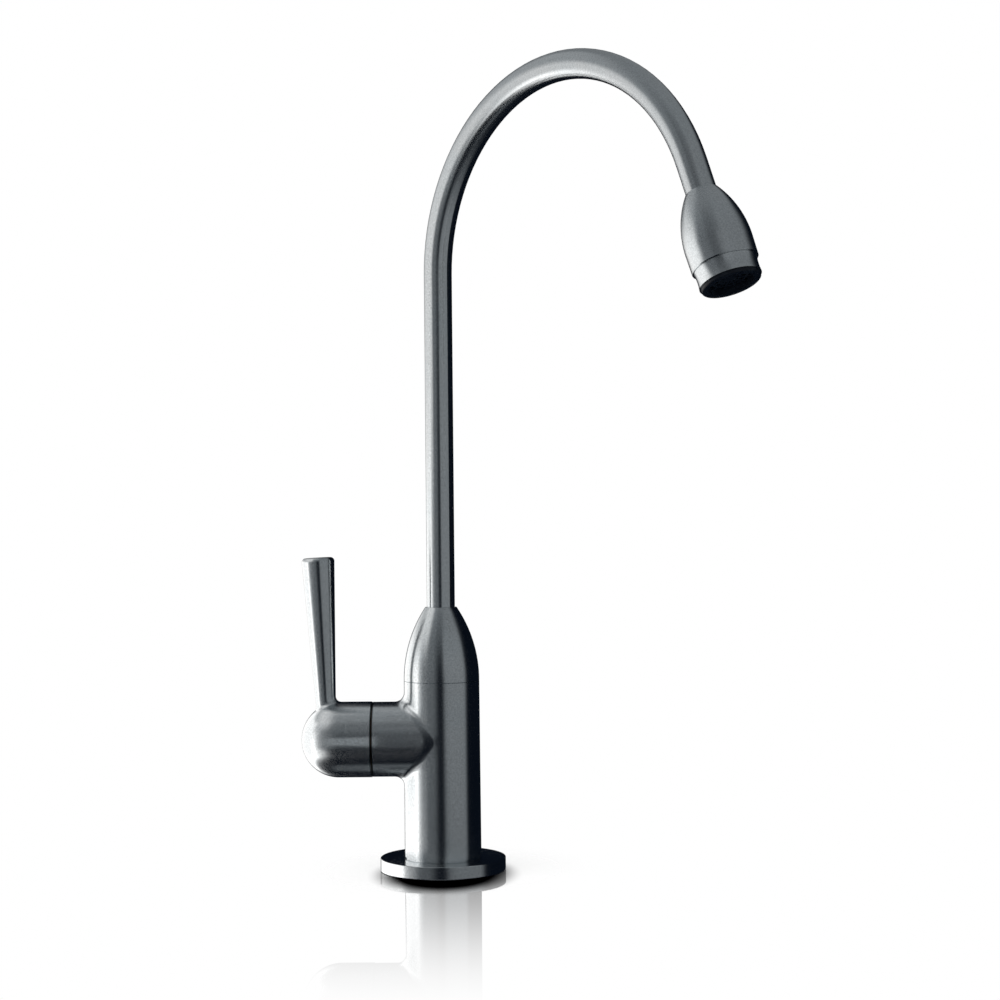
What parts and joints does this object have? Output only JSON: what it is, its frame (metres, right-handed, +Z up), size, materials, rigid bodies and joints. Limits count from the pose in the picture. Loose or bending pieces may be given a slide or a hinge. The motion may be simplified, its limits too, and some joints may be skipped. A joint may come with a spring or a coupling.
{
  "type": "drinking water faucet",
  "caption": "Deck-mounted drinking water faucet with a turning gooseneck spout, a side lever valve and a bell-shaped aerator nozzle.",
  "frame": {"origin": "middle of the deck hole, on the deck's top face, where the base seal sits", "axes": "+Z up along the column; -X out along the valve barrel to the handle; -Y towards the user, the way the lever opens"},
  "size_m": [0.1719, 0.1515, 0.3748],
  "materials": {
    "satin_nickel": "satin nickel plating, brushed round",
    "brass": "machined brass",
    "zinc_steel": "bright zinc or nickel plate",
    "spring_steel": "spring steel",
    "steel_mesh": "woven stainless wire",
    "black_rubber": "matt black rubber",
    "white_acetal": "white acetal",
    "ceramic": "lapped ceramic",
    "black_plastic": "moulded black plastic"
  },
  "bodies": {
    "faucet_body": {"base_flange": "satin_nickel", "base_seal": "black_rubber", "valve_body": "satin_nickel", "bonnet": "satin_nickel", "slip_washer": "white_acetal", "swivel_bushing": "white_acetal", "cartridge_seal": "black_rubber", "fixed_disc": "ceramic", "cartridge_housing": "brass", "cartridge_o_ring": "black_rubber", "threaded_shank": "zinc_steel", "deck_washer": "black_rubber", "clamp_washer": "zinc_steel", "lock_washer": "spring_steel", "mounting_nut": "zinc_steel", "inlet_sleeve": "brass", "inlet_nut": "brass"},
    "spout": {"spout_ferrule": "brass", "spout_o_rings": "black_rubber", "spout_tube": "satin_nickel", "nozzle_bell": "satin_nickel", "aerator_ring": "satin_nickel", "aerator_washer": "black_rubber", "aerator_diffuser": "white_acetal", "aerator_screen": "steel_mesh", "aerator_insert": "black_plastic"},
    "handle": {"moving_disc": "ceramic", "cartridge_stem": "brass", "stem_o_ring": "black_rubber", "stem_clip": "spring_steel", "lever_handle": "satin_nickel", "handle_grub_screw": "spring_steel"}
  },
  "joints": [
    {"name": "spout_swivel", "type": "hinge", "parent": "faucet_body", "child": "spout", "pos_m": [0, 0, 0.086], "axis": [0, 0, 1], "continuous": true},
    {"name": "lever_turn", "type": "hinge", "parent": "faucet_body", "child": "handle", "pos_m": [-0.02775, 0, 0.0523], "axis": [1, 0, 0], "range_deg": [0, 90]}
  ]
}
